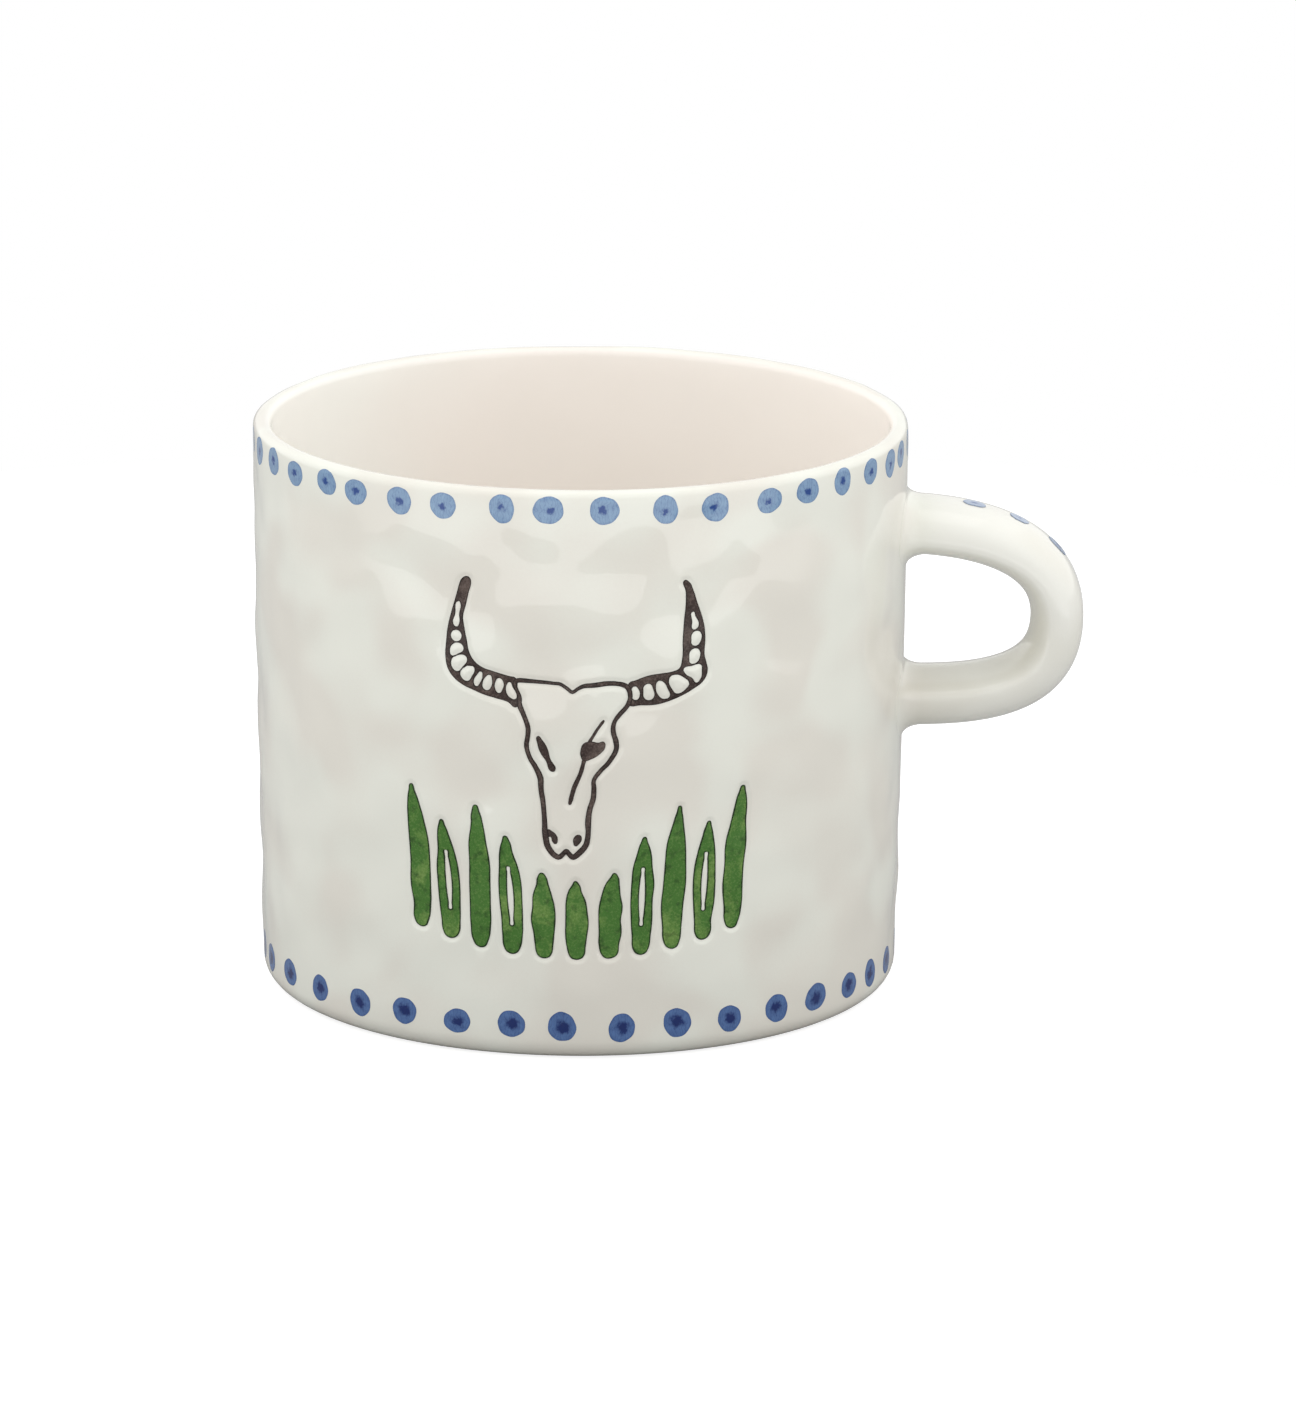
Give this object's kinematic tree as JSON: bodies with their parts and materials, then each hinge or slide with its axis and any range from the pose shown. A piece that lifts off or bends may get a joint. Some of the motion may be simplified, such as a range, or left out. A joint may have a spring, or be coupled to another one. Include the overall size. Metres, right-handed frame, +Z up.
{
  "type": "mug",
  "caption": "Low, wide glazed ceramic mug with a looped strap handle and an inlaid drawing of a horned skull over a row of leaves.",
  "frame": {"origin": "middle of the whole mug's box, cup and handle together, at the level of the table; the cup's own axis is at x = -0.01295", "axes": "+Z up out of the cup, +X towards the handle, -Y towards the front that carries the drawing"},
  "size_m": [0.1208, 0.095, 0.0835],
  "materials": {
    "white_glaze": "glossy off-white glaze over a softly dimpled wall",
    "slip": "glossy off-white glaze over smoothed slip",
    "brown_glaze": "dark brown glaze pooled in engraved lines",
    "green_glaze": "mottled leaf-green glaze pooled in engraved pockets",
    "blue_paint": "thin blue underglaze brush dots under clear glaze",
    "bare_clay": "dry unglazed clay on the foot ring"
  },
  "bodies": {
    "root": {"cup_body": "white_glaze", "handle": "white_glaze", "upper_handle_joint": "slip", "lower_handle_joint": "slip", "skull_outline": "brown_glaze", "left_horn": "brown_glaze", "right_horn": "brown_glaze", "left_eye": "brown_glaze", "right_eye": "brown_glaze", "brow_line": "brown_glaze", "nose_line": "brown_glaze", "left_nostril": "brown_glaze", "right_nostril": "brown_glaze", "leaf_01": "green_glaze", "leaf_02": "green_glaze", "leaf_03": "green_glaze", "leaf_04": "green_glaze", "leaf_05": "green_glaze", "leaf_06": "green_glaze", "leaf_07": "green_glaze", "leaf_08": "green_glaze", "leaf_09": "green_glaze", "leaf_10": "green_glaze", "leaf_11": "green_glaze"}
  },
  "joints": []
}
